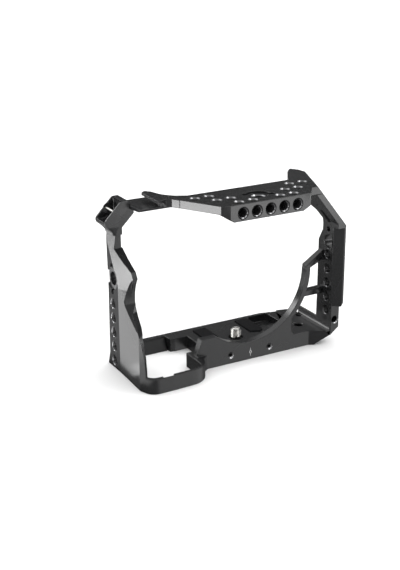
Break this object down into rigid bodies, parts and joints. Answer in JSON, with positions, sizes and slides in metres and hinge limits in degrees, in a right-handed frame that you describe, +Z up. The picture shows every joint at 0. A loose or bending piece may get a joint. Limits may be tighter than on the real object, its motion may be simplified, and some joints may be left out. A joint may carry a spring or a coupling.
{
  "type": "camera cage",
  "caption": "Machined cage that wraps a mirrorless camera, with accessory holes, side rail, strap anchor, captive screw and stored driver.",
  "frame": {"origin": "middle of the bounding box at its bottom, on the surface that the cage stands on", "axes": "+X to the right seen from the lens side, -Y to the lens side, +Z up"},
  "size_m": [0.144, 0.064, 0.106],
  "materials": {
    "frame": "bead-blasted, black anodised",
    "rubber": "matte",
    "washer": "matte",
    "screw": "turned stainless",
    "driver": "satin",
    "magnet": "nickel plated"
  },
  "bodies": {
    "frame": {"base_plate": "frame", "battery_loop": "frame", "grip_guard": "frame", "grip_post": "frame", "strap_anchor": "frame", "top_bar": "frame", "top_plate": "frame", "shoulder_arm": "frame", "side_plate": "frame", "lens_arc": "frame", "arc_struts": "frame", "left_pad": "rubber", "right_pad": "rubber", "top_pad": "rubber", "driver_magnets": "magnet"},
    "washer": {"thrust_washer": "washer"},
    "screw": {"camera_screw": "screw", "ring_pin": "screw"},
    "ring": {"folding_ring": "screw"},
    "driver": {"stored_driver": "driver"}
  },
  "joints": [
    {"name": "screw_drop", "type": "slide", "parent": "frame", "child": "washer", "axis": [0, 0, -1], "range_m": [0, 0.002]},
    {"name": "screw_spin", "type": "hinge", "parent": "washer", "child": "screw", "pos_m": [0.0113, 0.0056, 0.005], "axis": [0, 0, 1], "range_deg": [-180, 180]},
    {"name": "ring_fold", "type": "hinge", "parent": "screw", "child": "ring", "pos_m": [0.0113, 0.0056, 0.0008], "axis": [1, 0, 0], "range_deg": [0, 110]},
    {"name": "driver_removal", "type": "slide", "parent": "frame", "child": "driver", "axis": [0, 0, -1], "range_m": [0, 0.02]}
  ]
}
